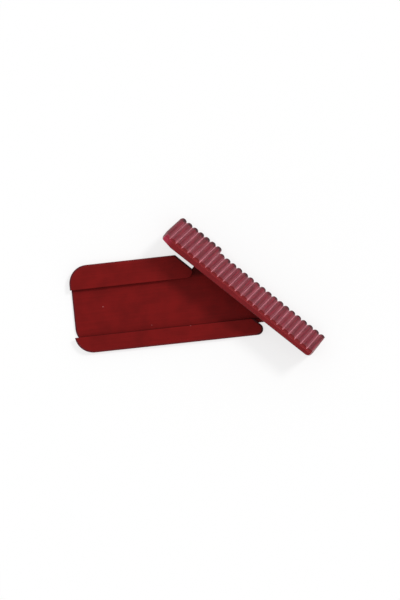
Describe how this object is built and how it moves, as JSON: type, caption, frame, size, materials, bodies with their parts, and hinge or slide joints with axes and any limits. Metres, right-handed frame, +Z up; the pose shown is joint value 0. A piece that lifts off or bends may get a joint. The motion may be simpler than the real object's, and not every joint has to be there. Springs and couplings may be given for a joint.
{
  "type": "guiro",
  "caption": "Guiro: a flat folded steel plate with two inturned lips, and a ridged lacquered bar screwed across its slanted end to be scraped with a stick.",
  "frame": {"origin": "underside of the plate, on its centre line, halfway between the square end and the mitre", "axes": "+X along the plate towards the bar, +Y towards the wide lip, +Z up out of the panel"},
  "size_m": [0.1988, 0.1197, 0.0278],
  "materials": {
    "plate_paint": "fine-textured dark red powder coat",
    "bar_lacquer": "semi-gloss crimson lacquer on hardwood",
    "screw_steel": "bright zinc plate"
  },
  "bodies": {
    "root": {"folded_plate": "plate_paint", "ridged_bar": "bar_lacquer", "fixing_screws": "screw_steel"}
  },
  "joints": []
}
